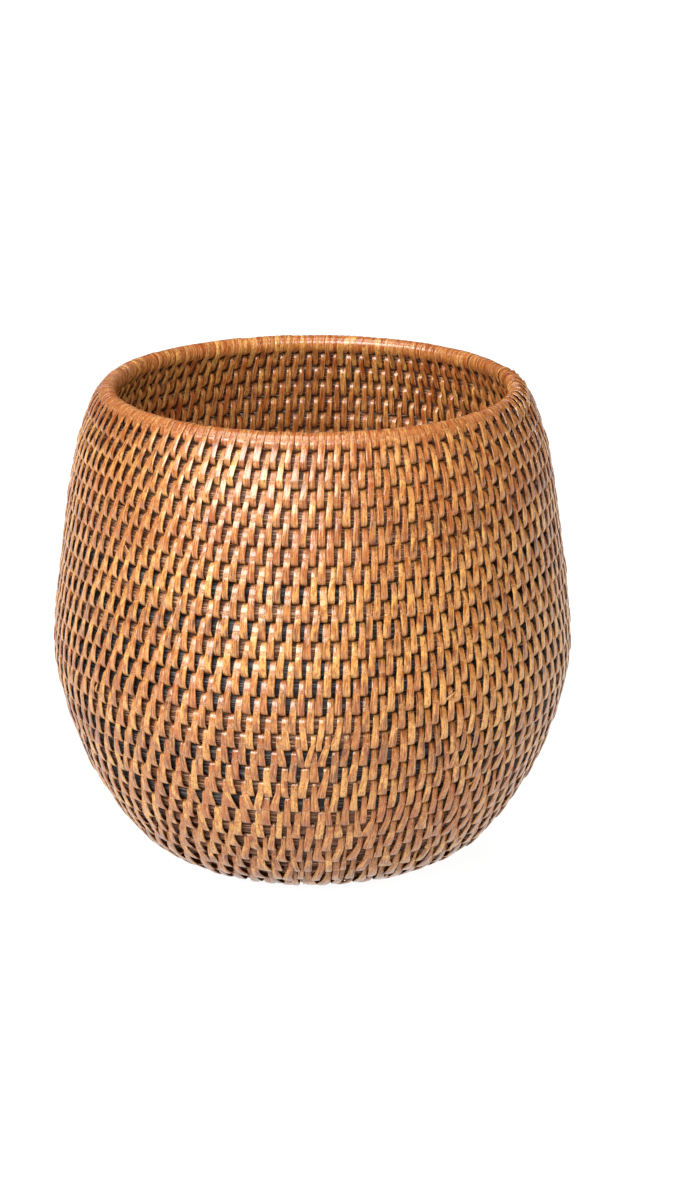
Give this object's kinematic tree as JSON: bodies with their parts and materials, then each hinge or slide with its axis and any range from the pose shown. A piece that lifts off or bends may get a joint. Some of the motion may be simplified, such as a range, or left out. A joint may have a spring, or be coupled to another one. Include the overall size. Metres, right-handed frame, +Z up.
{
  "type": "coiled rattan planter",
  "caption": "Round-bellied bowl planter of coiled rattan cane, each turn bound to the next by thin peel, with a close wrapped rim and an open top.",
  "frame": {"origin": "on the surface that the planter stands on, under the middle of the bowl", "axes": "+Z up along the bowl's axis, -Y towards the viewer of the picture, +X to the viewer's right"},
  "size_m": [0.1906, 0.1905, 0.1778],
  "materials": {
    "cane_brown": "satin brown cane core with fine streaks along it",
    "cane_dark": "satin, near-black cane core with fine streaks along it",
    "peel": "glossy lacquered honey-coloured rattan peel"
  },
  "bodies": {
    "root": {"start_cane": "cane_brown", "wall_cane_01": "cane_brown", "wall_cane_02": "cane_brown", "wall_cane_03": "cane_brown", "wall_cane_04": "cane_brown", "wall_cane_05": "cane_dark", "wall_cane_06": "cane_brown", "wall_cane_07": "cane_dark", "wall_cane_08": "cane_brown", "wall_cane_09": "cane_dark", "wall_cane_10": "cane_dark", "wall_cane_11": "cane_brown", "wall_cane_12": "cane_dark", "wall_cane_13": "cane_brown", "wall_cane_14": "cane_dark", "wall_cane_15": "cane_brown", "wall_cane_16": "cane_brown", "wall_cane_17": "cane_brown", "rim_cane": "cane_brown", "rim_binding": "peel"}
  },
  "joints": []
}
